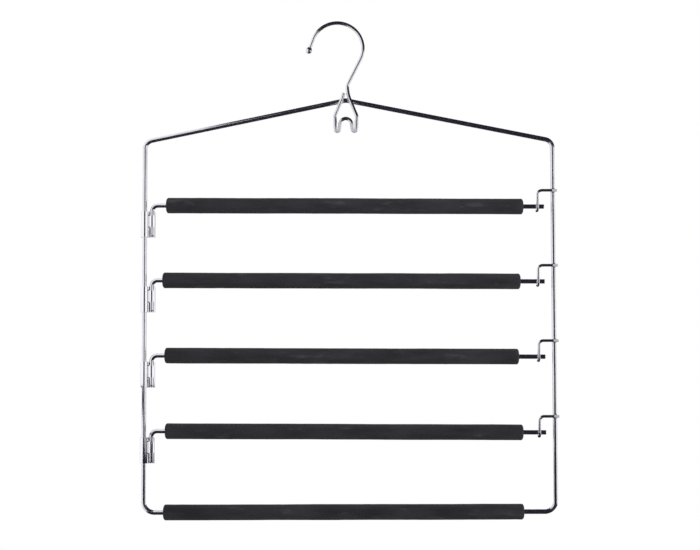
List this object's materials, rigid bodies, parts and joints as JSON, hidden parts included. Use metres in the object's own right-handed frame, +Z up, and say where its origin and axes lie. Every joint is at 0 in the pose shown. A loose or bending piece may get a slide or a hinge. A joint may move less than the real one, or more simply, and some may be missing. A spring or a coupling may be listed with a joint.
{
  "type": "multi-tier clothes hanger",
  "caption": "Chrome wire trouser hanger: foam-covered arms that swing out from pivot clips and rest in catches, over a fixed bottom rail, with a hook and a cascade loop.",
  "frame": {"origin": "the point under the hook's crown that bears on the rail", "axes": "+Z up, +X along the arms from their pivots to their catches, +Y to the back, where the arms swing"},
  "size_m": [0.381, 0.0143, 0.4561],
  "materials": {
    "chrome": "bright chrome plate on steel",
    "foam": "matt black closed-cell foam"
  },
  "bodies": {
    "hanger_frame": {"frame_wire": "chrome", "hook_wire": "chrome", "hook_ball_tip": "chrome", "pivot_clip_1": "chrome", "pivot_clip_2": "chrome", "pivot_clip_3": "chrome", "pivot_clip_4": "chrome", "catch_hook_1": "chrome", "catch_hook_2": "chrome", "catch_hook_3": "chrome", "catch_hook_4": "chrome", "foam_sleeve_5": "foam"},
    "arm_1": {"swing_arm_1": "chrome", "foam_sleeve_1": "foam"},
    "arm_2": {"swing_arm_2": "chrome", "foam_sleeve_2": "foam"},
    "arm_3": {"swing_arm_3": "chrome", "foam_sleeve_3": "foam"},
    "arm_4": {"swing_arm_4": "chrome", "foam_sleeve_4": "foam"}
  },
  "joints": [
    {"name": "arm_1_swing", "type": "hinge", "parent": "hanger_frame", "child": "arm_1", "pos_m": [-0.17, 0.004, -0.1663], "axis": [0, 0, 1], "range_deg": [0, 130]},
    {"name": "arm_2_swing", "type": "hinge", "parent": "hanger_frame", "child": "arm_2", "pos_m": [-0.17, 0.004, -0.235], "axis": [0, 0, 1], "range_deg": [0, 130]},
    {"name": "arm_3_swing", "type": "hinge", "parent": "hanger_frame", "child": "arm_3", "pos_m": [-0.17, 0.004, -0.3037], "axis": [0, 0, 1], "range_deg": [0, 130]},
    {"name": "arm_4_swing", "type": "hinge", "parent": "hanger_frame", "child": "arm_4", "pos_m": [-0.17, 0.004, -0.3724], "axis": [0, 0, 1], "range_deg": [0, 130]}
  ]
}
